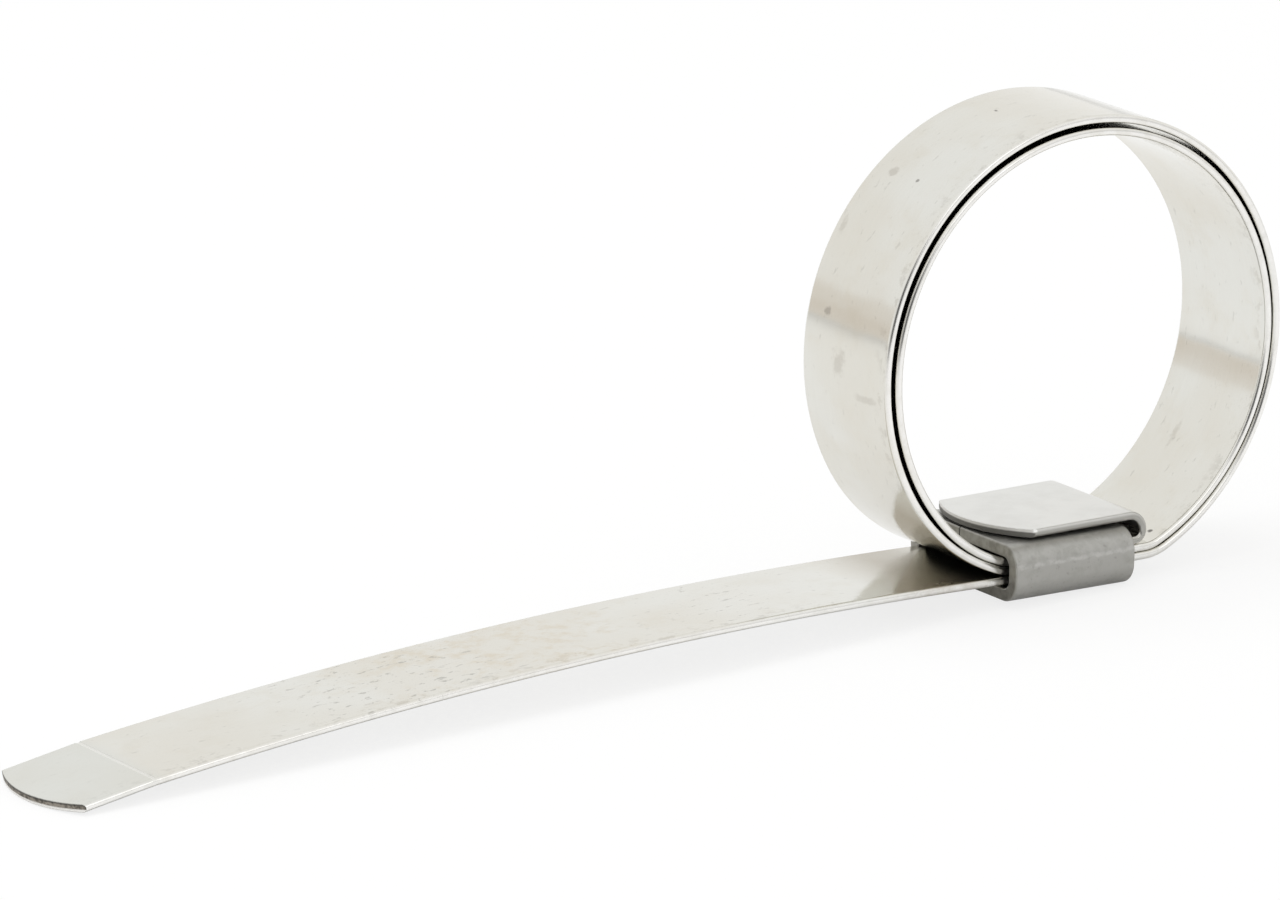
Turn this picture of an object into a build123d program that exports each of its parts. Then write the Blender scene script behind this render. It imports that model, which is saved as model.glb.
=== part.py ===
from build123d import *
from math import atan2, cos, degrees, radians, sin, sqrt, tan
import os

# Preformed band hose clamp, 1/2 in band, for a 1 1/2 in hose.
#
# One stainless strip starts as a short tongue, folds back under the buckle's roof, passes through the
# buckle, goes twice round the hose seat, and leaves the buckle for the third time as the pull tail.
# The buckle is a thicker strip folded into a flat loop round the three layers, with a butt seam in its roof.
#
# Frame: the ring's centre is the origin, +Y runs along the hose, the tail leaves towards -X and +Z is up.
# The clamp is laid out in its own plane, whose u axis is parallel to the layers in the buckle, and that
# plane is tilted so that the clamp rests on its tail tip and on the buckle's lower edge.

# band strip
band_width = 12.7
band_thickness = 0.75
band_edge_break = 0.22

# ring: two turns, the outer one centred on the origin
outer_turn_radius = 21.0
turn_gap = 0.29
inner_turn_shift = (0.14, -0.12)

# buckle strip, folded round the three layers
buckle_thickness = 1.2
buckle_length = 12.9
buckle_middle = -1.9
buckle_fold_radius = 2.0
buckle_edge_radius = 0.2
buckle_side_play = 0.5
buckle_height_play = 0.46
buckle_cock_angle = 0.7
roof_clearance = 0.03
seam_offset = 0.6
seam_gap = 0.12

# how the layers lie in the buckle, enter it on the right and bend up out of its left mouth
layer_gap = 0.02
right_run_in = 2.5
right_lead_radius = 5.0
mouth_bend_radius = 4.0
mouth_bend_angle = 20.0

# tongue and the fold that turns it back over the buckle
fold_overhang = 2.2
fold_upper_radius = 1.45
fold_lower_radius = 0.83
tongue_length = 14.9
tongue_end_radius = 10.0
tongue_end_offset = 0.8

# pull tail
tail_run_out = 0.1
tail_rise_radius = 16.0
tail_rise_angle = 1.9
tail_bow_radius = 548.0
tail_bow_length = 86.3
score_bend_radius = 8.0
score_bend_angle = 2.5
score_depth = 0.08
score_cutter_radius = 0.35
tip_length = 8.7
tip_end_radius = 12.5
tip_end_offset = 0.5

# where the buckle ends, and how far its cocked roof drops from its left end to its right one
buckle_left = buckle_middle - buckle_length / 2
buckle_right = buckle_middle + buckle_length / 2
roof_drop = buckle_length * tan(radians(buckle_cock_angle))

# where the layers start to bend: the top one just clears the roof at both ends of the buckle
mouth_run_in = sqrt(mouth_bend_radius**2 - (mouth_bend_radius - roof_drop) ** 2)
left_mouth = buckle_left + mouth_run_in
right_mouth = buckle_right + right_run_in

# heights of the layers, from the arc that leads the outer turn down to the right mouth, and of the tongue
lead_centre_height = -sqrt((outer_turn_radius - right_lead_radius) ** 2 - right_mouth**2)
bottom_layer_height = lead_centre_height - right_lead_radius
layer_pitch = band_thickness + layer_gap
middle_layer_height = bottom_layer_height + layer_pitch
top_layer_height = middle_layer_height + layer_pitch
tongue_height = top_layer_height + fold_lower_radius + fold_upper_radius
fold_reach = buckle_right + fold_overhang


def ring_lead(turn_centre, turn_radius, end, inward):
    """Radius and angle of the arc from end, with its centre along inward, that runs tangent into a turn."""
    offset = end - turn_centre
    radius = (turn_radius**2 - offset.dot(offset)) / (2 * (turn_radius + offset.dot(inward)))
    return radius, (offset + inward * radius).get_angle(-inward)


def ring_turn(start, height, bend_radius, turn_centre, turn_radius, next_height):
    """One turn of the strip: out of the left mouth at height, round the ring and into the right mouth."""
    run_out = Line(start, (left_mouth, height))
    bend = JernArc(run_out @ 1, run_out % 1, bend_radius, -mouth_bend_angle)
    inward = Vector(sin(radians(mouth_bend_angle)), cos(radians(mouth_bend_angle)))
    left_radius, left_angle = ring_lead(turn_centre, turn_radius, bend @ 1, inward)
    right_end = Vector(right_mouth, next_height)
    right_radius, right_angle = ring_lead(turn_centre, turn_radius, right_end, Vector(0, 1))
    left_lead = JernArc(bend @ 1, bend % 1, left_radius, -left_angle)
    turn_angle = 360 - mouth_bend_angle - left_angle - right_angle
    turn = JernArc(left_lead @ 1, left_lead % 1, turn_radius, -turn_angle)
    return JernArc(turn @ 1, turn % 1, right_radius, -right_angle)


# the strip's centreline, drawn flat from the tongue's end to the tail's tip
with BuildLine() as strip:
    tongue_end = (fold_reach - tongue_length, tongue_height)
    tongue = Line(tongue_end, (fold_reach - fold_upper_radius, tongue_height))
    fold_top = JernArc(tongue @ 1, tongue % 1, fold_upper_radius, -90)
    fold_foot = JernArc(fold_top @ 1, fold_top % 1, fold_lower_radius, -90)
    inner_end = ring_turn(
        fold_foot @ 1,
        top_layer_height,
        mouth_bend_radius,
        Vector(inner_turn_shift),
        outer_turn_radius - band_thickness - turn_gap,
        middle_layer_height,
    )
    outer_end = ring_turn(
        inner_end @ 1,
        middle_layer_height,
        mouth_bend_radius + layer_pitch,
        Vector(0, 0),
        outer_turn_radius,
        bottom_layer_height,
    )
    bottom_layer = Line(outer_end @ 1, (buckle_left - tail_run_out, bottom_layer_height))
    tail_rise = JernArc(bottom_layer @ 1, bottom_layer % 1, tail_rise_radius, -tail_rise_angle)
    bow_angle = degrees(tail_bow_length / tail_bow_radius)
    tail_bow = JernArc(tail_rise @ 1, tail_rise % 1, tail_bow_radius, bow_angle)
    score_bend = JernArc(tail_bow @ 1, tail_bow % 1, score_bend_radius, score_bend_angle)
    tip = Line(score_bend @ 1, score_bend @ 1 + (score_bend % 1) * tip_length)

# the buckle's inside and its place on the stack of layers
inner_height = 3 * band_thickness + 2 * layer_gap + buckle_height_play
inner_width = band_width + 2 * buckle_side_play
wrap_height = inner_height + buckle_thickness
wrap_width = inner_width + buckle_thickness
buckle_axis = Vector(cos(radians(buckle_cock_angle)), -sin(radians(buckle_cock_angle)))
buckle_up = Vector(-buckle_axis.Y, buckle_axis.X)
stack_top = top_layer_height + band_thickness / 2
buckle_centre = Vector(buckle_middle, stack_top + roof_clearance + roof_drop / 2 - inner_height / 2)

# the tilt that lays the tail tip and the buckle's lower right edge on one level
tip_foot = tip @ 1 + Vector(-(tip % 1).Y, (tip % 1).X) * band_thickness / 2
buckle_foot = (
    buckle_centre
    + buckle_axis * (buckle_length / 2 - buckle_edge_radius)
    - buckle_up * (wrap_height + buckle_thickness) / 2
)
rest_line = buckle_foot - tip_foot
rest_tilt = atan2(rest_line.Y, rest_line.X)
clamp_plane = Plane((0, 0, 0), x_dir=(cos(rest_tilt), 0, -sin(rest_tilt)), z_dir=(0, -1, 0))
route = clamp_plane.from_local_coords(strip.line)


def round_strip_end(apex, outward, radius, offset):
    """Shear the strip's end to a convex arc that reaches furthest at offset from the strip's middle."""
    with BuildSketch(Plane(apex, x_dir=outward, z_dir=outward.cross(Vector(0, 1, 0)))) as offcut:
        with Locations((band_thickness, 0)):
            Rectangle(radius, band_width + 2 * band_thickness, align=(Align.MAX, Align.CENTER))
        with Locations((-radius, offset)):
            Circle(radius, mode=Mode.SUBTRACT)
    extrude(offcut.sketch, amount=band_thickness, both=True, mode=Mode.SUBTRACT)


with BuildPart() as band:
    with BuildSketch(Plane(route @ 0, x_dir=(0, 1, 0), z_dir=route % 0)) as strip_section:
        Rectangle(band_width, band_thickness)
        chamfer(strip_section.vertices(), band_edge_break)
    sweep(path=route)
    round_strip_end(route @ 0, -(route % 0), tongue_end_radius, tongue_end_offset)
    round_strip_end(route @ 1, route % 1, tip_end_radius, tip_end_offset)
    score_out = Vector((score_bend % 0.5).Y, -(score_bend % 0.5).X)
    score_axis = score_bend @ 0.5 + score_out * (band_thickness / 2 - score_depth + score_cutter_radius)
    with BuildSketch(clamp_plane):
        with Locations((score_axis.X, score_axis.Y)):
            Circle(score_cutter_radius)
    extrude(amount=band_width, both=True, mode=Mode.SUBTRACT)

buckle_plane = Plane(
    clamp_plane.from_local_coords(buckle_centre),
    x_dir=(0, 1, 0),
    z_dir=clamp_plane.from_local_coords(buckle_axis) - clamp_plane.origin,
)

with BuildPart() as buckle:
    with BuildSketch(buckle_plane):
        with BuildLine():
            FilletPolyline(
                (seam_offset + seam_gap / 2, wrap_height / 2),
                (wrap_width / 2, wrap_height / 2),
                (wrap_width / 2, -wrap_height / 2),
                (-wrap_width / 2, -wrap_height / 2),
                (-wrap_width / 2, wrap_height / 2),
                (seam_offset - seam_gap / 2, wrap_height / 2),
                radius=buckle_fold_radius - buckle_thickness / 2,
            )
        trace(line_width=buckle_thickness)
    extrude(amount=buckle_length / 2, both=True)
    ends = buckle.edges().group_by(Axis(buckle_plane.origin, buckle_plane.z_dir))
    fillet(ends[0] + ends[-1], buckle_edge_radius)

os.makedirs("parts", exist_ok=True)
band.part.label = "band"
export_step(band.part, "parts/band.step")
buckle.part.label = "buckle"
export_step(buckle.part, "parts/buckle.step")
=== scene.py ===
from math import asin, atan2, ceil, cos, degrees, pi, radians, sin, sqrt, tan

import bpy
from mathutils import Matrix, Vector


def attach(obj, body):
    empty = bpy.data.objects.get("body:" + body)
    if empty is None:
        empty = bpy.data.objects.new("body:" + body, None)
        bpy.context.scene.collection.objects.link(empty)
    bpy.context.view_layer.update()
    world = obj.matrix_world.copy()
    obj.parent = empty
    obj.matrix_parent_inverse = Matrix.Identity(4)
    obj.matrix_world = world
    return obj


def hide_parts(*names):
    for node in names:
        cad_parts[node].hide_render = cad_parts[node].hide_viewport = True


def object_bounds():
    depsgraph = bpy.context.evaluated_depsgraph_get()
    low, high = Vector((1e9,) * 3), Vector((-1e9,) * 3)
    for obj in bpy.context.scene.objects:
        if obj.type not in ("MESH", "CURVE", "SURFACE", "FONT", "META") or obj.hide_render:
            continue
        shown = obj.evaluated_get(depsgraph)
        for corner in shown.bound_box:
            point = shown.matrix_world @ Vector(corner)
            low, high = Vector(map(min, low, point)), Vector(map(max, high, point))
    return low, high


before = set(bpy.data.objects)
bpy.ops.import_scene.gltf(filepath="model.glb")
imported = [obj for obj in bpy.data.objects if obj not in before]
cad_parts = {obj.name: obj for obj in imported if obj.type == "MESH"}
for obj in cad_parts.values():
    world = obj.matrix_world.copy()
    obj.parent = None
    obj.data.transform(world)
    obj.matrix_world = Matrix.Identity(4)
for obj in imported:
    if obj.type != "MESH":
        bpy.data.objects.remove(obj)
cad_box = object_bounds()

# Sizes in millimetres, as the part's source has them.
BAND_WIDTH = 12.7
BAND_THICKNESS = 0.75
BAND_EDGE = 0.34
OUTER_TURN = 21.0
TURN_GAP = 0.29
INNER_SHIFT = Vector((0.14, -0.12))
BUCKLE_THICKNESS = 1.2
BUCKLE_LENGTH = 12.9
BUCKLE_MIDDLE = -1.9
BUCKLE_FOLD = 2.0
BUCKLE_EDGE = 0.2
SIDE_PLAY = 0.5
HEIGHT_PLAY = 0.46
COCK = radians(0.7)
ROOF_CLEARANCE = 0.03
SEAM_OFFSET = 0.6
SEAM_GAP = 0.12
LAYER_GAP = 0.02
RIGHT_RUN_IN = 2.5
RIGHT_LEAD = 5.0
MOUTH_BEND = 4.0
MOUTH_ANGLE = 20.0
FOLD_OVERHANG = 2.2
FOLD_UPPER = 1.45
FOLD_LOWER = 0.83
TONGUE_LENGTH = 14.9
TONGUE_END = 10.0
TONGUE_END_OFFSET = 0.8
TAIL_RUN_OUT = 0.1
TAIL_RISE = 16.0
TAIL_RISE_ANGLE = 1.9
TAIL_BOW = 548.0
TAIL_BOW_LENGTH = 86.3
SCORE_BEND = 8.0
SCORE_ANGLE = 2.5
SCORE_DEPTH = 0.08
SCORE_CUTTER = 0.35
SCORE_APPROACH = 0.18
TIP_LENGTH = 8.7
TIP_END = 12.5
TIP_END_OFFSET = 0.5
END_LIP = 0.06
MM = 0.001

# How finely the route is divided: millimetres for lines, degrees for arcs.
LINE_STEP = 1.0
TONGUE_STEP = 0.5
FOLD_STEP = 7.5
MOUTH_STEP = 2.5
TURN_STEP = 1.5
LEAD_STEP = 3.0
RISE_STEP = 0.7
BOW_STEP = 0.2
NEAR_SCORE_ANGLE = 0.003
NEAR_SCORE_STEP = 0.03
TIP_STEP = 0.25

# How finely the strips are divided round their section.
ACROSS = 14
CORNER_STEPS = 5

buckle_left = BUCKLE_MIDDLE - BUCKLE_LENGTH / 2
buckle_right = BUCKLE_MIDDLE + BUCKLE_LENGTH / 2
roof_drop = BUCKLE_LENGTH * tan(COCK)
left_mouth = buckle_left + sqrt(MOUTH_BEND**2 - (MOUTH_BEND - roof_drop) ** 2)
right_mouth = buckle_right + RIGHT_RUN_IN
bottom_layer = -sqrt((OUTER_TURN - RIGHT_LEAD) ** 2 - right_mouth**2) - RIGHT_LEAD
pitch = BAND_THICKNESS + LAYER_GAP
inner_turn = OUTER_TURN - BAND_THICKNESS - TURN_GAP
middle_layer = bottom_layer + pitch
top_layer = middle_layer + pitch
tongue_height = top_layer + FOLD_LOWER + FOLD_UPPER
fold_reach = buckle_right + FOLD_OVERHANG


# ---------------------------------------------------------------- the strip's route

class Route:
    """A flat chain of lines and tangent arcs, kept as stations of distance, place and heading."""

    def __init__(self, start, heading):
        self.place = Vector(start)
        self.heading = heading
        self.length = 0.0
        self.stations = [(0.0, self.place.copy(), heading)]
        self.marks = {}

    def direction(self):
        return Vector((cos(self.heading), sin(self.heading)))

    def mark(self, name):
        self.marks[name] = self.length

    def line(self, length, step):
        count = max(1, ceil(length / step))
        for _ in range(count):
            self.place = self.place + self.direction() * (length / count)
            self.length += length / count
            self.stations.append((self.length, self.place.copy(), self.heading))

    def line_to_x(self, x, step):
        self.line((x - self.place.x) / cos(self.heading), step)

    def arc(self, radius, angle, step):
        """Turns left for a positive angle in degrees, in steps of about step degrees."""
        count = max(1, ceil(abs(angle) / step))
        turn = radians(angle) / count
        side = 1 if angle > 0 else -1
        centre = self.place + Vector((-sin(self.heading), cos(self.heading))) * (radius * side)
        for _ in range(count):
            self.heading += turn
            self.place = centre - Vector((-sin(self.heading), cos(self.heading))) * (radius * side)
            self.length += radius * abs(turn)
            self.stations.append((self.length, self.place.copy(), self.heading))


def lead_in(turn_centre, turn_radius, end, inward):
    """Radius and angle, in degrees, of the arc from end that runs tangent into a turn."""
    offset = end - turn_centre
    radius = (turn_radius**2 - offset.dot(offset)) / (2 * (turn_radius + offset.dot(inward)))
    spoke = offset + inward * radius
    return radius, degrees(spoke.angle(-inward))


def wind_turn(route, bend, centre, turn_radius, next_height):
    """Out of the left mouth, once round the ring and into the right mouth."""
    route.line_to_x(left_mouth, LINE_STEP)
    route.arc(bend, -MOUTH_ANGLE, MOUTH_STEP)
    inward = Vector((sin(radians(MOUTH_ANGLE)), cos(radians(MOUTH_ANGLE))))
    left_radius, left_angle = lead_in(centre, turn_radius, route.place, inward)
    right_end = Vector((right_mouth, next_height))
    right_radius, right_angle = lead_in(centre, turn_radius, right_end, Vector((0, 1)))
    route.arc(left_radius, -left_angle, TURN_STEP)
    route.arc(turn_radius, -(360 - MOUTH_ANGLE - left_angle - right_angle), TURN_STEP)
    route.arc(right_radius, -right_angle, LEAD_STEP)


def band_route():
    """From the tongue's free end, twice round the ring, to the tail's tip."""
    route = Route((fold_reach - TONGUE_LENGTH, tongue_height), 0.0)
    route.line_to_x(fold_reach - FOLD_UPPER, TONGUE_STEP)
    route.arc(FOLD_UPPER, -90, FOLD_STEP)
    route.arc(FOLD_LOWER, -90, FOLD_STEP)
    wind_turn(route, MOUTH_BEND, INNER_SHIFT, inner_turn, middle_layer)
    wind_turn(route, MOUTH_BEND + pitch, Vector((0, 0)), OUTER_TURN, bottom_layer)
    route.line_to_x(buckle_left - TAIL_RUN_OUT, LINE_STEP)
    route.arc(TAIL_RISE, -TAIL_RISE_ANGLE, RISE_STEP)
    route.arc(TAIL_BOW, degrees((TAIL_BOW_LENGTH - SCORE_APPROACH) / TAIL_BOW), BOW_STEP)
    route.arc(TAIL_BOW, degrees(SCORE_APPROACH / TAIL_BOW), NEAR_SCORE_ANGLE)
    route.arc(SCORE_BEND, SCORE_ANGLE, BOW_STEP)
    route.mark("score")
    route.line(SCORE_APPROACH, NEAR_SCORE_STEP)
    route.line(TIP_LENGTH - SCORE_APPROACH, TIP_STEP)
    return route


route = band_route()

# How the clamp tilts to rest on its tail tip and on the buckle's lower edge.
wrap_height = 3 * BAND_THICKNESS + 2 * LAYER_GAP + HEIGHT_PLAY + BUCKLE_THICKNESS
wrap_width = BAND_WIDTH + 2 * SIDE_PLAY + BUCKLE_THICKNESS
buckle_axis = Vector((cos(COCK), -sin(COCK)))
buckle_up = Vector((sin(COCK), cos(COCK)))
stack_top = top_layer + BAND_THICKNESS / 2
buckle_height = stack_top + ROOF_CLEARANCE + roof_drop / 2 - (wrap_height - BUCKLE_THICKNESS) / 2
buckle_centre = Vector((BUCKLE_MIDDLE, buckle_height))
tip_foot = route.place + Vector((-sin(route.heading), cos(route.heading))) * (BAND_THICKNESS / 2)
buckle_foot = (
    buckle_centre
    + buckle_axis * (BUCKLE_LENGTH / 2 - BUCKLE_EDGE)
    - buckle_up * ((wrap_height + BUCKLE_THICKNESS) / 2)
)
rest_tilt = atan2(buckle_foot.y - tip_foot.y, buckle_foot.x - tip_foot.x)


def stand(u, v, w):
    """From the clamp's own plane, in millimetres, to the frame, in metres."""
    return Vector((
        (u * cos(rest_tilt) + w * sin(rest_tilt)) * MM,
        v * MM,
        (w * cos(rest_tilt) - u * sin(rest_tilt)) * MM,
    ))


# ---------------------------------------------------------------- meshes

class Skin:
    """One mesh while it is put together: what it holds at each of its points, and its faces."""

    def __init__(self, turned_over=False):
        self.turned_over = turned_over
        self.verts = []
        self.normals = []
        self.maps = []
        self.marks = []
        self.faces = []

    def point(self, vert, normal, strip_place, marks):
        """Adds a point and gives its number. The marks say how far it is edge, shear and depth."""
        self.verts.append(vert)
        self.normals.append(normal)
        self.maps.append(strip_place)
        self.marks.append(marks)
        return len(self.verts) - 1

    def face(self, corners, back=False):
        self.faces.append(corners[::-1] if back != self.turned_over else corners)


def rounded_section(width, thickness, radius):
    """Points round a strip once, each as (across, out, normal across, normal out)."""
    points = []
    half_w, half_t = width / 2 - radius, thickness / 2 - radius

    def face(side):
        for i in range(ACROSS + 1):
            across = -half_w + 2 * half_w * i / ACROSS
            points.append((side * across, side * thickness / 2, 0.0, 1.0 * side))

    def corner(right, top, start):
        for i in range(1, CORNER_STEPS):
            a = start - pi / 2 * i / CORNER_STEPS
            across, out = right * half_w + radius * cos(a), top * half_t + radius * sin(a)
            points.append((across, out, cos(a), sin(a)))

    def side(right):
        points.append((right * width / 2, right * half_t, 1.0 * right, 0.0))
        points.append((right * width / 2, -right * half_t, 1.0 * right, 0.0))

    face(1)
    corner(1, 1, pi / 2)
    side(1)
    corner(1, -1, 0.0)
    face(-1)
    corner(-1, -1, -pi / 2)
    side(-1)
    corner(-1, 1, pi)
    return points


def sweep(skin, stations, section, place, end_shift, groove):
    """Sweeps a strip along stations. place(point, heading, across, out) says where a point goes."""
    half = max(out for _, out, _, _ in section)
    count = len(section)
    for s, point, heading in stations:
        for across, out, n_across, n_out in section:
            moved, here = end_shift(s, across, point, heading)
            depth = groove(moved) if n_out < GROOVED_NORMAL else 0.0
            axis = place(here, heading, 0.0, 0.0)
            normal = (place(here, heading, n_across, n_out) - axis).normalized()
            vert = place(here, heading, across, out + depth)
            skin.point(vert, normal, (moved * MM, across * MM), (abs(n_across), 0.0, out / half))
    for i in range(len(stations) - 1):
        for j in range(count):
            k = (j + 1) % count
            skin.face((i * count + j, (i + 1) * count + j, (i + 1) * count + k, i * count + k))


def add_cap(skin, ring, inset, outward, back):
    """Closes a sheared end: a slightly rounded rim from the ring inwards, and a flat face."""
    lip = []
    for index in ring:
        vert = skin.verts[index] + inset(index)
        marks = (0.0, 1.0, skin.marks[index][2])
        lip.append(skin.point(vert, outward(index), skin.maps[index], marks))
    for j in range(len(ring)):
        k = (j + 1) % len(ring)
        skin.face((ring[j], ring[k], lip[k], lip[j]), back)

    # The lip starts at the top row's left end and goes right, then down and back.
    bottom_start = ACROSS + 2 * CORNER_STEPS + 1
    top = lip[:ACROSS + 1]
    bottom = lip[bottom_start:bottom_start + ACROSS + 1][::-1]
    for i in range(ACROSS):
        skin.face((top[i], top[i + 1], bottom[i + 1], bottom[i]), back)
    skin.face(tuple(lip[ACROSS:bottom_start + 1]), back)
    skin.face(tuple(lip[bottom_start + ACROSS:] + lip[:1]), back)


def finish_mesh(name, skin, body, node, material):
    mesh = bpy.data.meshes.new(name)
    mesh.from_pydata([v[:] for v in skin.verts], [], skin.faces)
    mesh.validate()
    mesh.update()
    strip_map = mesh.uv_layers.new(name="strip")
    for loop in mesh.loops:
        strip_map.data[loop.index].uv = skin.maps[loop.vertex_index]
    for place, title in enumerate(("edge", "shear", "depth")):
        layer = mesh.attributes.new(title, "FLOAT", "POINT")
        layer.data.foreach_set("value", [mark[place] for mark in skin.marks])
    mesh.polygons.foreach_set("use_smooth", [True] * len(mesh.polygons))
    mesh.normals_split_custom_set_from_vertices([n[:] for n in skin.normals])
    piece = bpy.data.objects.new(name, mesh)
    bpy.context.scene.collection.objects.link(piece)
    piece.data.materials.append(material)
    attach(piece, body)
    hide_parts(node)


# ---------------------------------------------------------------- shader maths

class Value:
    """A socket, with the usual signs for arithmetic."""

    def __init__(self, sheet, socket):
        self.sheet = sheet
        self.socket = socket

    def _math(self, operation, first, second):
        return self.sheet.add("ShaderNodeMath", {"operation": operation}, [first, second])

    def __add__(self, other):
        return self._math("ADD", self, other)

    def __radd__(self, other):
        return self._math("ADD", other, self)

    def __sub__(self, other):
        return self._math("SUBTRACT", self, other)

    def __rsub__(self, other):
        return self._math("SUBTRACT", other, self)

    def __mul__(self, other):
        return self._math("MULTIPLY", self, other)

    def __rmul__(self, other):
        return self._math("MULTIPLY", other, self)

    def clamped(self):
        settings = {"operation": "ADD", "use_clamp": True}
        return self.sheet.add("ShaderNodeMath", settings, [self, 0.0])


def metres(distances):
    return [distance * MM for distance in distances]


class Sheet:
    """The node sheet of one material, or of the world."""

    def __init__(self, owner):
        owner.use_nodes = True
        self.tree = owner.node_tree
        self.tree.nodes.clear()

    def finish(self, shader, kind="ShaderNodeOutputMaterial"):
        out = self.tree.nodes.new(kind)
        self.tree.links.new(shader.socket, out.inputs[0])

    def add(self, kind, settings=None, inputs=None, output=0):
        """A node of any kind: its settings first, then its values and links."""
        node = self.tree.nodes.new(kind)
        for key, value in (settings or {}).items():
            setattr(node, key, value)
        pairs = inputs.items() if isinstance(inputs, dict) else enumerate(inputs or [])
        for key, value in pairs:
            socket = node.inputs[key]
            if isinstance(value, Value):
                self.tree.links.new(value.socket, socket)
            else:
                socket.default_value = value
        return Value(self, node.outputs[output])

    def mix(self, factor, a, b):
        """Mixes colours. The node keeps its colour inputs at 6 and 7 and its colour result at 2."""
        return self.add("ShaderNodeMix", {"data_type": "RGBA"}, {0: factor, 6: a, 7: b}, 2)

    def noise(self, vector, scale, detail, rough=0.55, stretch=(1, 1, 1)):
        placed = self.add("ShaderNodeMapping", {}, {"Vector": vector, "Scale": stretch})
        return self.add("ShaderNodeTexNoise", {}, {
            "Vector": placed, "Scale": scale, "Detail": detail, "Roughness": rough,
        })

    def ramp(self, value, low, high):
        """Nothing at low and one at high, either of which may be the larger."""
        return self.add("ShaderNodeMapRange", {"interpolation_type": "SMOOTHSTEP"}, {
            "Value": value, "From Min": low, "From Max": high,
        })

    def stretch(self, along, zone):
        """One within a stretch of the strip, fading to nothing at both of its ends."""
        starts, full, fading, gone = metres(zone)
        return self.ramp(along, starts, full) * self.ramp(along, gone, fading)

    def mark(self, name):
        """A number that the mesh carries at each of its points."""
        return self.add("ShaderNodeAttribute", {"attribute_name": name}, {}, 2)

    def axis(self, vector, name):
        return self.add("ShaderNodeSeparateXYZ", {}, [vector], name)

    def spot(self, strip, centre, reach, wobble=0.0):
        """A soft patch round a place on the strip, with an edge made uneven by wobble."""
        centre, reach = (*metres(centre), 0), (*metres(reach), 1)
        off = self.add("ShaderNodeVectorMath", {"operation": "SUBTRACT"}, [strip, centre])
        scaled = self.add("ShaderNodeVectorMath", {"operation": "DIVIDE"}, [off, reach])
        far = self.add("ShaderNodeVectorMath", {"operation": "LENGTH"}, [scaled], "Value")
        return self.ramp(far + wobble, 1.0, 0.35)

    def light_path(self, name):
        return self.add("ShaderNodeLightPath", {}, {}, name)


# ---------------------------------------------------------------- the band's steel

# Colours of its faces, with a painted shade and a painted reflection among them.
WARM_FACE = (0.725, 0.705, 0.645, 1)
COOL_FACE = (0.765, 0.765, 0.73, 1)
ROLLING_LINE = (0.66, 0.65, 0.61, 1)
DULL_CLOUD = (0.66, 0.63, 0.55, 1)
OLD_STAIN = (0.64, 0.57, 0.45, 1)
NICK = (0.31, 0.30, 0.27, 1)
SCUFF = (0.36, 0.34, 0.30, 1)
WEDGE_SHADE_COLOUR = (0.37, 0.32, 0.25, 1)
TIP_REFLECTION_TINT = (0.655, 0.67, 0.64, 1)
TONGUE_PALE = (0.755, 0.755, 0.74, 1)
TONGUE_DARK = (0.71, 0.71, 0.695, 1)
SOOT = (0.12, 0.11, 0.10, 1)
SMEAR = (0.45, 0.42, 0.37, 1)

# Colours of its edges, score and sheared ends, with painted highlights and painted shade among
# them.
FOLD_SIDE_SHADE_LOW = (0.38, 0.375, 0.35, 1)
FOLD_SIDE_SHADE_HIGH = (0.60, 0.595, 0.575, 1)
SCORE_HIGHLIGHT = (0.93, 0.92, 0.9, 1)
EDGE_HIGHLIGHT = (0.91, 0.90, 0.885, 1)
TORN_DARK = (0.11, 0.10, 0.085, 1)
TORN_PALE = (0.33, 0.30, 0.26, 1)
SHEAR_RIM_SHADE = (0.05, 0.05, 0.05, 1)
TORN_TONGUE = (0.27, 0.265, 0.25, 1)
SHEAR_RIM_HIGHLIGHT = (0.88, 0.87, 0.85, 1)
PAINTED_GLINT = (0.97, 0.97, 0.96, 1)

# Stretches of the strip, as distances from its start in millimetres: starts, full, fading, gone.
STAINED = (316.0, 330.0, 339.0, 356.0)
HANDLED = (334.0, 341.0, 352.0, 360.0)
HANDLED_BEFORE = (308.0, 311.0, 317.0, 321.0)
SHADED_WEDGE = (284.0, 292.0, 293.5, 300.5)

# Where a look begins and where it is full, in millimetres.
TIP_FROM = (372.5, 374.5)
TONGUE_UP_TO = (17.0, 15.0)
FOLD_UP_TO = (19.5, 17.5)
SCUFFED_BEYOND = (-4.0, -6.0)

# Marks on the faces: colour, distance along and across, reach both ways, and strength.
BAND_STAINS = [
    (SOOT, (208.5, 1.5), (0.3, 0.5), 0.9),
    (SMEAR, (198.0, 3.5), (0.7, 0.7), 0.5),
    (SMEAR, (192.0, 5.2), (1.2, 0.6), 0.35),
    (SOOT, (198.0, -0.2), (0.22, 0.22), 0.6),
    (SOOT, (184.6, 3.3), (0.5, 0.7), 0.35),
    (SMEAR, (180.5, 0.8), (1.6, 1.1), 0.4),
    (SMEAR, (178.2, -3.4), (0.5, 1.8), 0.35),
    (SMEAR, (128.5, 2.0), (1.4, 0.5), 0.35),
    (SOOT, (138.7, -4.6), (0.3, 0.35), 0.9),
]
GLINT_PLACE = (3.1, -6.25)
GLINT_SPREAD = (0.3, 0.3)
SCORE_SHEEN = 0.21

# How many of each pattern fit in a metre. Those on the strip differ along and across it.
DRIFT = 75.0
RIPPLE = 170.0
CLOUD = 260.0
BLOTCH = 700.0
SPECK = 2600.0
ROLLING_LINES = (60.0, 5200.0, 1.0)
SCRATCHES = (700.0, 1500.0, 1.0)

BAND_ROUGHNESS = 0.10
BAND_RELIEF = {"Strength": 0.1, "Distance": 0.04 * MM}


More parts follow.
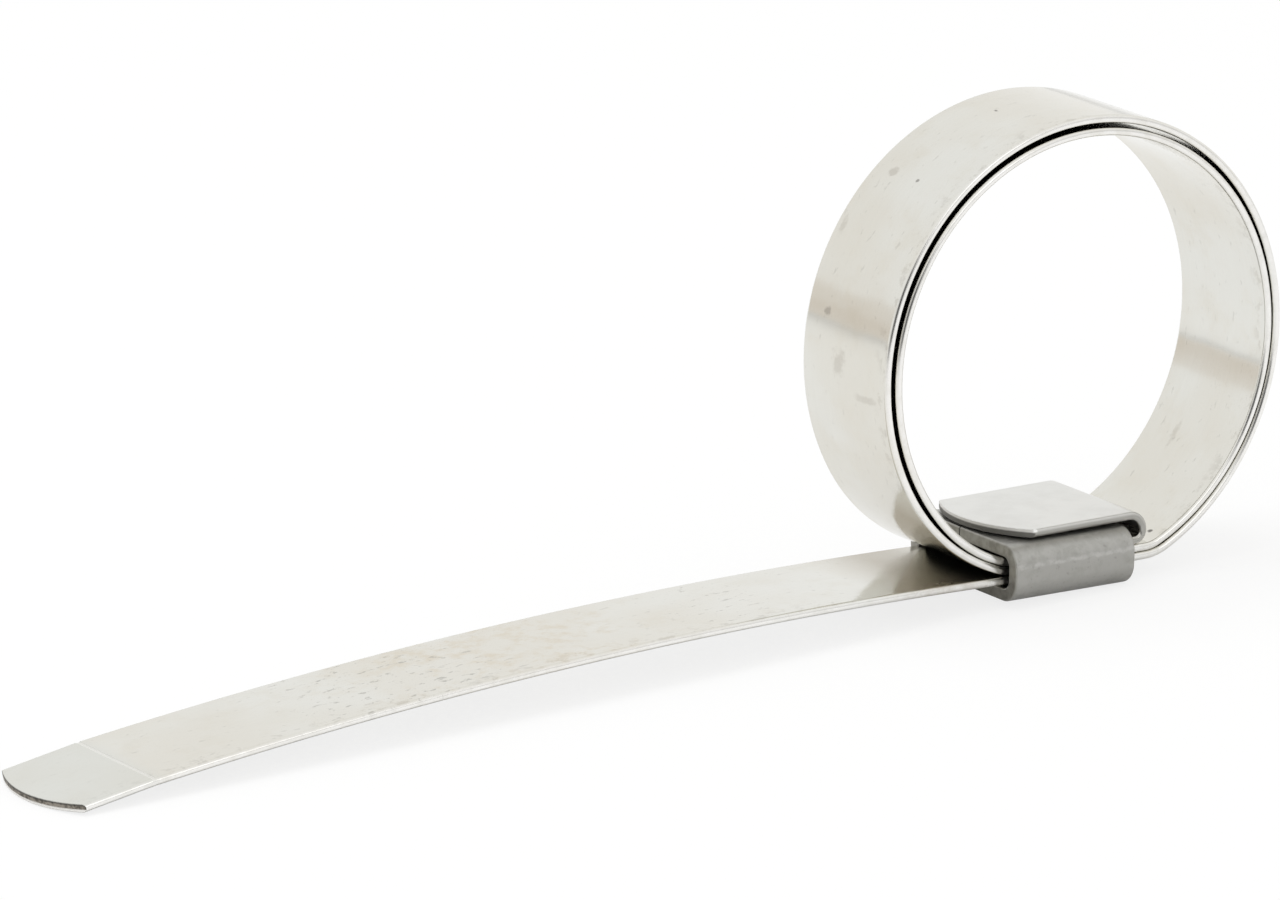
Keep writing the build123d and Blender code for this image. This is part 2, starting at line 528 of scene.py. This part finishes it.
def band_steel():
    """Bright rolled strip: stained and scratched on its faces, grey and torn at its ends."""
    material = bpy.data.materials.new("bright_band_steel")
    sheet = Sheet(material)
    place = sheet.add("ShaderNodeNewGeometry", {}, {}, "Position")
    strip = sheet.add("ShaderNodeUVMap", {"uv_map": "strip"})
    along = sheet.axis(strip, "X")
    across = sheet.axis(strip, "Y")
    edge = sheet.mark("edge")
    shear = sheet.mark("shear")
    depth = sheet.mark("depth")
    lines = sheet.noise(strip, 1.0, 4.0, 0.7, ROLLING_LINES)
    scratch = sheet.noise(strip, 1.0, 4.0, 0.65, SCRATCHES)
    drift = sheet.noise(place, DRIFT, 2.0)
    ripple = sheet.noise(place, RIPPLE, 1.0)
    cloud = sheet.noise(place, CLOUD, 5.0, 0.6)
    blotch = sheet.noise(place, BLOTCH, 5.0, 0.7)
    speck = sheet.noise(place, SPECK, 2.0, 0.6)
    ragged = (blotch - 0.5) * 2.4 + (speck - 0.5) * 0.5

    # The rolled faces, slightly clouded.
    base = sheet.mix(sheet.ramp(drift, 0.35, 0.65), WARM_FACE, COOL_FACE)
    base = sheet.mix(((lines - 0.5) * 0.5 + 0.2).clamped(), base, ROLLING_LINE)
    base = sheet.mix(sheet.ramp(cloud, 0.5, 0.75) * 0.3, base, DULL_CLOUD)

    # Stains, nicks and scuffs on the tail, painted shade where it leaves the ring, and a tip
    # painted darker as a painted reflection.
    stained = sheet.stretch(along, STAINED) * 0.6 + 0.08
    stain = sheet.ramp(blotch, 0.40, 0.66) * sheet.ramp(cloud, 0.40, 0.58) * stained
    base = sheet.mix(stain, base, OLD_STAIN)
    handled = sheet.stretch(along, HANDLED) + sheet.stretch(along, HANDLED_BEFORE) * 0.6
    lowered = handled * 0.035
    nicks = sheet.ramp(scratch, 0.62 - lowered, 0.67 - lowered) * (handled * 0.4 + 0.2)
    base = sheet.mix(nicks, base, NICK)
    scuffed = sheet.ramp(across, *metres(SCUFFED_BEYOND)) * sheet.ramp(blotch, 0.52, 0.62)
    base = sheet.mix(scuffed * 0.28, base, SCUFF)
    # Painted shade: the tail is darkened where it leaves the ring, in the wedge under the ring.
    wedge_shading = sheet.stretch(along, SHADED_WEDGE)
    base = sheet.mix(wedge_shading * 0.6, base, WEDGE_SHADE_COLOUR)
    # Painted reflection: the tip past its bend is drawn darker and greener.
    base = sheet.mix(sheet.ramp(along, *metres(TIP_FROM)) * 0.5, base, TIP_REFLECTION_TINT)
    for colour, centre, reach, strength in BAND_STAINS:
        base = sheet.mix(sheet.spot(strip, centre, reach, ragged) * strength, base, colour)

    # The matt tongue, and painted shade on the sides of its fold, darker towards the underside.
    tongue = sheet.ramp(along, *metres(TONGUE_UP_TO))
    matt = sheet.mix(sheet.ramp(cloud, 0.4, 0.65), TONGUE_PALE, TONGUE_DARK)
    base = sheet.mix(tongue * 0.8, base, matt)
    folded = sheet.ramp(along, *metres(FOLD_UP_TO))
    # Painted shade: the sides of the tongue and fold are drawn dark grey, a painted reflection of
    # the dark gap below, darker towards the underside.
    side = sheet.mix(sheet.ramp(depth, 0.1, 0.9), FOLD_SIDE_SHADE_LOW, FOLD_SIDE_SHADE_HIGH)
    base = sheet.mix(folded * edge * 0.9, base, side)

    # The score line's painted highlight, and a painted highlight along the edges.
    # Painted highlight: a pale line along the score groove.
    off_score = along - groove_middle * MM
    score_highlight_mask = sheet.ramp(off_score * off_score, (SCORE_SHEEN * MM) ** 2, 0.0)
    base = sheet.mix(score_highlight_mask * 0.45, base, SCORE_HIGHLIGHT)
    # Painted highlight: the rounded edges are drawn near white, except along the fold.
    edge_highlight_mask = edge * edge * (1 - folded) * (0.55 + sheet.ramp(blotch, 0.35, 0.6) * 0.4)
    base = sheet.mix(edge_highlight_mask, base, EDGE_HIGHLIGHT)

    # The sheared ends: torn in the middle, with painted shade at one rim, a painted highlight at
    # the other, and a painted glint at one corner.
    torn = sheet.mix(sheet.ramp(speck, 0.35, 0.65), TORN_DARK, TORN_PALE)
    # Painted shade along one rim of each sheared end.
    torn = sheet.mix(sheet.ramp(depth, -0.45, -0.85) * 0.7, torn, SHEAR_RIM_SHADE)
    torn = sheet.mix(tongue, torn, TORN_TONGUE)
    # Painted highlight along the other rim of each sheared end.
    torn = sheet.mix(sheet.ramp(depth, 0.1, 0.55), torn, SHEAR_RIM_HIGHLIGHT)
    base = sheet.mix(shear, base, torn)
    # Painted glint: a near-white spot on the upper side of the tongue's near corner.
    corner = sheet.spot(strip, GLINT_PLACE, GLINT_SPREAD) * sheet.ramp(depth, 0.1, 0.7)
    base = sheet.mix(corner, base, PAINTED_GLINT)

    rough = BAND_ROUGHNESS + (cloud - 0.5) * 0.08 + edge * 0.12 + tongue * 0.22
    rough = rough + shear * 0.42 + score_highlight_mask * 0.25 + wedge_shading * wedge_shading * 0.16
    height = lines * 0.5 + speck * 0.3 + cloud * 0.5 + ripple * 12
    height = height * (1 - edge * 0.85) + speck * shear * 1.8
    bump = sheet.add("ShaderNodeBump", {}, {**BAND_RELIEF, "Height": height})
    sheet.finish(sheet.add("ShaderNodeBsdfPrincipled", {}, {
        "Base Color": base, "Metallic": 1.0, "Roughness": rough, "Normal": bump,
    }))
    return material


# ---------------------------------------------------------------- the buckle's steel

DULL_DARK = (0.38, 0.375, 0.355, 1)
DULL_PALE = (0.455, 0.45, 0.43, 1)
DULL_PATCH = (0.34, 0.335, 0.31, 1)
FOLD_DENTS_AND_SHEEN = (0.50, 0.495, 0.475, 1)
FOLD_GLINT = (0.66, 0.655, 0.64, 1)
PIT = (0.24, 0.23, 0.21, 1)
CUT_DARK = (0.19, 0.18, 0.155, 1)
CUT_PALE = (0.30, 0.29, 0.255, 1)

# How many of each pattern fit in a metre.
BUCKLE_DRIFT = 160.0
BUCKLE_CLOUD = 620.0
BUCKLE_DENTS = 1100.0
BUCKLE_GRAIN = 2400.0

# The line where the near fold begins, in millimetres: how far it strays and how soon it is full,
# and the middle and half width of the glint beside it.
FOLD_STRAY = 0.9
FOLD_FULL = 0.15
GLINT_MIDDLE = 0.2
GLINT_HALF = 0.22

BUCKLE_ROUGHNESS = 0.36
BUCKLE_RELIEF = {"Strength": 0.22, "Distance": 0.05 * MM}


def buckle_steel(fold_start):
    """Dull soft steel: grey, dimpled and with a painted highlight and glint along the fold that
    closes it, and darker at its cut ends.
    """
    material = bpy.data.materials.new("dull_buckle_steel")
    sheet = Sheet(material)
    place = sheet.add("ShaderNodeNewGeometry", {}, {}, "Position")
    strip = sheet.add("ShaderNodeUVMap", {"uv_map": "strip"})
    along = sheet.axis(strip, "X")
    edge = sheet.mark("edge")
    shear = sheet.mark("shear")
    drift = sheet.noise(place, BUCKLE_DRIFT, 3.0)
    cloud = sheet.noise(place, BUCKLE_CLOUD, 4.0, 0.65)
    dents = sheet.noise(place, BUCKLE_DENTS, 3.0, 0.6)
    grain = sheet.noise(place, BUCKLE_GRAIN, 3.0, 0.6)
    base = sheet.mix(drift, DULL_DARK, DULL_PALE)
    base = sheet.mix(sheet.ramp(cloud, 0.45, 0.7) * 0.6, base, DULL_PATCH)

    # Painted highlight with real dents: the fold is drawn lighter and mottled, with a painted glint
    # along the line where it begins.
    line = along - fold_start * MM + (cloud - 0.5) * (FOLD_STRAY * MM)
    folded = sheet.ramp(line, 0.0, FOLD_FULL * MM)
    base = sheet.mix(folded * sheet.ramp(dents, 0.38, 0.62) * 0.45, base, FOLD_DENTS_AND_SHEEN)
    off_glint = line - GLINT_MIDDLE * MM
    glint = sheet.ramp(off_glint * off_glint, (GLINT_HALF * MM) ** 2, 0.0)
    base = sheet.mix(glint * sheet.ramp(dents, 0.3, 0.6) * 0.28, base, FOLD_GLINT)

    base = sheet.mix(sheet.ramp(grain, 0.58, 0.75) * 0.35, base, PIT)
    ends = sheet.mix(sheet.ramp(dents, 0.35, 0.65), CUT_DARK, CUT_PALE)
    base = sheet.mix((edge + shear).clamped() * 0.75, base, ends)
    rough = BUCKLE_ROUGHNESS + (grain - 0.5) * 0.2 + folded * 0.05
    height = grain * 0.8 + cloud * 1.2 + dents * folded * 1.5
    bump = sheet.add("ShaderNodeBump", {}, {**BUCKLE_RELIEF, "Height": height})
    sheet.finish(sheet.add("ShaderNodeBsdfPrincipled", {}, {
        "Base Color": base, "Metallic": 1.0, "Roughness": rough, "Normal": bump,
    }))
    return material


# ---------------------------------------------------------------- the band

# The score is cut into the faces whose normal, out of the route, is below this.
GROOVED_NORMAL = -0.5
# Only points farther than this from the middle of the thickness draw in at a sheared end's rim.
RIM_DEPTH = 0.2
# Stations closer together than this are one.
SAME_STATION = 1e-6

tongue_flat = TONGUE_LENGTH - FOLD_UPPER
score_at = route.marks["score"]
groove_middle = score_at - radians(SCORE_ANGLE) * SCORE_BEND / 2
groove_half = sqrt(SCORE_CUTTER**2 - (SCORE_CUTTER - SCORE_DEPTH) ** 2)


def end_setback(radius, offset, across):
    """How far a sheared end's arc stands back from the strip's full length."""
    return radius - sqrt(radius**2 - (across - offset) ** 2) + END_LIP


def band_end_shift(s, across, point, heading):
    """Draws the stations near the two ends back to the sheared arcs."""
    direction = Vector((cos(heading), sin(heading)))
    if s < tongue_flat:
        set_back = end_setback(TONGUE_END, TONGUE_END_OFFSET, across) * (1 - s / tongue_flat)
        return s + set_back, point + direction * set_back
    if s > score_at:
        share = (s - score_at) / (route.length - score_at)
        set_back = end_setback(TIP_END, TIP_END_OFFSET, across) * share
        return s - set_back, point - direction * set_back
    return s, point


def score_groove(s):
    off = abs(s - groove_middle)
    if off >= groove_half:
        return 0.0
    return sqrt(SCORE_CUTTER**2 - off**2) - (SCORE_CUTTER - SCORE_DEPTH)


def band_place(point, heading, across, out):
    side = Vector((-sin(heading), cos(heading)))
    at = point + side * out
    return stand(at.x, across, at.y)


def cap_band(skin, section, station, start, radius, offset, back):
    """Closes one sheared end of the band, whose ring of points begins at start."""
    _, point, heading = station
    count = len(section)
    at = band_place(point, heading, 0, 0)
    ahead = band_place(point + Vector((cos(heading), sin(heading))), heading, 0, 0) - at
    out_way = (ahead if back else -ahead).normalized()
    up = band_place(point, heading, 0, 1) - at

    def inset(index):
        out = section[index % count][1]
        rise = 0 if abs(out) <= RIM_DEPTH else END_LIP if out > 0 else -END_LIP
        return out_way * (END_LIP * MM) - up * rise

    def outward(index):
        lean = (section[index % count][0] - offset) / radius
        return (out_way * cos(asin(lean)) + Vector((0, 1, 0)) * lean).normalized()

    add_cap(skin, list(range(start, start + count)), inset, outward, back)


def make_band():
    section = rounded_section(BAND_WIDTH, BAND_THICKNESS, BAND_EDGE)
    stations = []
    for station in route.stations:
        if not stations or station[0] - stations[-1][0] >= SAME_STATION:
            stations.append(station)
    skin = Skin()
    sweep(skin, stations, section, band_place, band_end_shift, score_groove)
    last = len(skin.verts) - len(section)
    cap_band(skin, section, stations[0], 0, TONGUE_END, TONGUE_END_OFFSET, False)
    cap_band(skin, section, stations[-1], last, TIP_END, TIP_END_OFFSET, True)
    finish_mesh("steel_band", skin, "root", "band", band_steel())


# ---------------------------------------------------------------- the buckle

FLAT_STEP = 0.6
WALL_STEP = 0.4
BUCKLE_BEND_STEP = 6


def buckle_route():
    """The wrap's middle line in the buckle's end view, from one side of the seam to the other."""
    bend = BUCKLE_FOLD - BUCKLE_THICKNESS / 2
    wrap = Route((SEAM_OFFSET + SEAM_GAP / 2, wrap_height / 2), 0.0)
    wrap.line(wrap_width / 2 - bend - wrap.place.x, FLAT_STEP)
    wrap.arc(bend, -90, BUCKLE_BEND_STEP)
    wrap.line(wrap_height - 2 * bend, WALL_STEP)
    wrap.arc(bend, -90, BUCKLE_BEND_STEP)
    wrap.line(wrap_width - 2 * bend, FLAT_STEP)
    wrap.arc(bend, -90, BUCKLE_BEND_STEP)
    wrap.line(wrap_height - 2 * bend, WALL_STEP)
    wrap.mark("near fold")
    wrap.arc(bend, -90, BUCKLE_BEND_STEP)
    wrap.line(SEAM_OFFSET - SEAM_GAP / 2 - wrap.place.x, FLAT_STEP)
    return wrap


def buckle_place(point, heading, across, out):
    side = Vector((-sin(heading), cos(heading)))
    at = point + side * out
    middle = buckle_centre + buckle_axis * across + buckle_up * at.y
    return stand(middle.x, at.x, middle.y)


def buckle_end_shift(s, across, point, heading):
    """The buckle's ends are cut square, so nothing moves."""
    return s, point


def make_buckle():
    wrap = buckle_route()
    section = rounded_section(BUCKLE_LENGTH, BUCKLE_THICKNESS, BUCKLE_EDGE)
    skin = Skin(turned_over=True)
    sweep(skin, wrap.stations, section, buckle_place, buckle_end_shift, lambda s: 0.0)
    count = len(section)
    last = len(skin.verts) - count
    for start, way in ((0, -1), (last, 1)):
        ring = list(range(start, start + count))
        facing = Vector((0, way, 0))
        add_cap(skin, ring, lambda index: Vector(), lambda index: facing, way > 0)
    material = buckle_steel(wrap.marks["near fold"])
    finish_mesh("steel_buckle", skin, "root", "buckle", material)


make_band()
make_buckle()


# ---------------------------------------------------------------- floor, lights and camera

# The floor, in metres, with a glow for the camera and for reflections that keeps it white.
FLOOR_REACH = 4.0
FLOOR_FRONT = -0.25
FLOOR_COLOUR = (0.9, 0.9, 0.9, 1)
GLOW_COLOUR = (1, 1, 1, 1)
SEEN_GLOW = 0.8
SHINY_GLOW = 0.1

# The room: its level on the object, what the camera and reflections see beyond that, and how
# much darker reflections find the open front and the middle of it.
ROOM_LEVEL = 0.8
SEEN_EXTRA = 0.2
FRONT_DARK = 0.68
CORE_DARK = 0.27
CORE_WAY = (-0.45, -0.87, 0.2)
RIGHT_SHARE = 0.35
ROOM_WHITE = (1.0, 0.998, 0.985, 1)
WARM_WALL = (0.55, 0.43, 0.30, 1)
WARM_SHARE = 0.4

# Lamps, in metres and watts.
LAMP_AIM = (-0.03, 0, 0)
OVERHEAD_PLACE, OVERHEAD_SIZE, OVERHEAD_POWER = (-0.1, 0.15, 0.8), (0.5, 0.5), 2.5
FRONT_PLACE, FRONT_SIZE, FRONT_POWER = (0.03, -0.56, 0.22), (0.4, 0.22), 0.21

# The camera: turn, height and roll in radians, distance and shift of view in millimetres, and
# a focal length in pixels of a frame that is 1280 wide.
CAMERA_TURN, CAMERA_HEIGHT, CAMERA_ROLL = -0.5915, 0.2693, 0.0067
CAMERA_DISTANCE = 950.0
SHIFT_RIGHT, SHIFT_UP = 35.4477, 9.7776
FOCAL_PIXELS, FRAME_WIDTH = 10806.4, 1280
SENSOR_WIDTH = 36.0


def make_floor():
    lowest = cad_box[0].z
    corners = [
        (-FLOOR_REACH, FLOOR_FRONT, lowest), (FLOOR_REACH, FLOOR_FRONT, lowest),
        (FLOOR_REACH, FLOOR_REACH, lowest), (-FLOOR_REACH, FLOOR_REACH, lowest),
    ]
    mesh = bpy.data.meshes.new("floor")
    mesh.from_pydata(corners, [], [(0, 1, 2, 3)])
    floor = bpy.data.objects.new("floor", mesh)
    bpy.context.scene.collection.objects.link(floor)
    material = bpy.data.materials.new("pale_floor")
    sheet = Sheet(material)
    cloth = sheet.add("ShaderNodeBsdfDiffuse", {}, {"Color": FLOOR_COLOUR})
    glow = sheet.add("ShaderNodeEmission", {}, {"Color": GLOW_COLOUR, "Strength": 1.0})
    seen = sheet.light_path("Is Camera Ray")
    shiny = sheet.light_path("Is Glossy Ray")
    share = (seen * SEEN_GLOW + shiny * SHINY_GLOW).clamped()
    sheet.finish(sheet.add("ShaderNodeMixShader", {}, [share, cloth, glow]))
    floor.data.materials.append(material)


def add_lamp(name, place, size, power):
    lamp = bpy.data.lights.new(name, "AREA")
    lamp.shape = "RECTANGLE"
    lamp.size, lamp.size_y = size
    lamp.energy = power
    holder = bpy.data.objects.new(name, lamp)
    holder.location = place
    aim = Vector(LAMP_AIM) - Vector(place)
    holder.rotation_euler = aim.to_track_quat("-Z", "Y").to_euler()
    bpy.context.scene.collection.objects.link(holder)
    return holder


def make_world():
    """A white room, dark beyond the open front and with a low warm wall to the back left."""
    world = bpy.data.worlds.new("studio")
    bpy.context.scene.world = world
    sheet = Sheet(world)
    way = sheet.add("ShaderNodeTexCoord", {}, {}, "Generated")
    x, y, z = (sheet.axis(way, name) for name in "XYZ")
    seen = sheet.light_path("Is Camera Ray")
    shiny = sheet.light_path("Is Glossy Ray")
    leftward = sheet.ramp(x, 0.35, -0.15) * (1 - RIGHT_SHARE) + RIGHT_SHARE
    front = sheet.ramp(y, -0.15, -0.6) * sheet.ramp(z, 0.6, 0.25) * leftward
    aim = sheet.add("ShaderNodeVectorMath", {"operation": "DOT_PRODUCT"}, [way, CORE_WAY], "Value")
    core = sheet.ramp(aim, 0.92, 0.985)
    uneven = sheet.ramp(sheet.noise(way, 9.0, 2.0), 0.3, 0.55)
    warm = sheet.ramp(y, 0.3, 0.6) * sheet.ramp(x, -0.2, -0.4) * sheet.ramp(z, 0.28, 0.04)
    colour = sheet.mix(warm * uneven * shiny * WARM_SHARE, ROOM_WHITE, WARM_WALL)
    level = ROOM_LEVEL + (seen + shiny).clamped() * SEEN_EXTRA
    level = level - shiny * (front * FRONT_DARK + core * CORE_DARK)
    room = sheet.add("ShaderNodeBackground", {}, {"Color": colour, "Strength": level})
    sheet.finish(room, "ShaderNodeOutputWorld")


def make_camera():
    turn, height, roll = CAMERA_TURN, CAMERA_HEIGHT, CAMERA_ROLL
    back = Vector((sin(turn) * cos(height), -cos(turn) * cos(height), sin(height)))
    level = Vector((cos(turn), sin(turn), 0))
    right = level * cos(roll) + back.cross(level) * sin(roll)
    up = back.cross(right)
    place = back * CAMERA_DISTANCE - right * SHIFT_RIGHT - up * SHIFT_UP
    axes = [stand(*v).normalized() for v in (right, up, back)]
    matrix = Matrix(axes).transposed().to_4x4()
    matrix.translation = stand(*place)
    lens = bpy.data.cameras.new("camera")
    lens.sensor_fit = "HORIZONTAL"
    lens.sensor_width = SENSOR_WIDTH
    lens.lens = FOCAL_PIXELS * SENSOR_WIDTH / FRAME_WIDTH
    lens.clip_start = 0.01
    lens.clip_end = 20.0
    camera = bpy.data.objects.new("camera", lens)
    camera.matrix_world = matrix
    bpy.context.scene.collection.objects.link(camera)
    bpy.context.scene.camera = camera


make_floor()
make_world()
overhead = add_lamp("overhead", OVERHEAD_PLACE, OVERHEAD_SIZE, OVERHEAD_POWER)
overhead.visible_glossy = False
add_lamp("front", FRONT_PLACE, FRONT_SIZE, FRONT_POWER)
make_camera()
bpy.context.scene.view_settings.view_transform = "Standard"
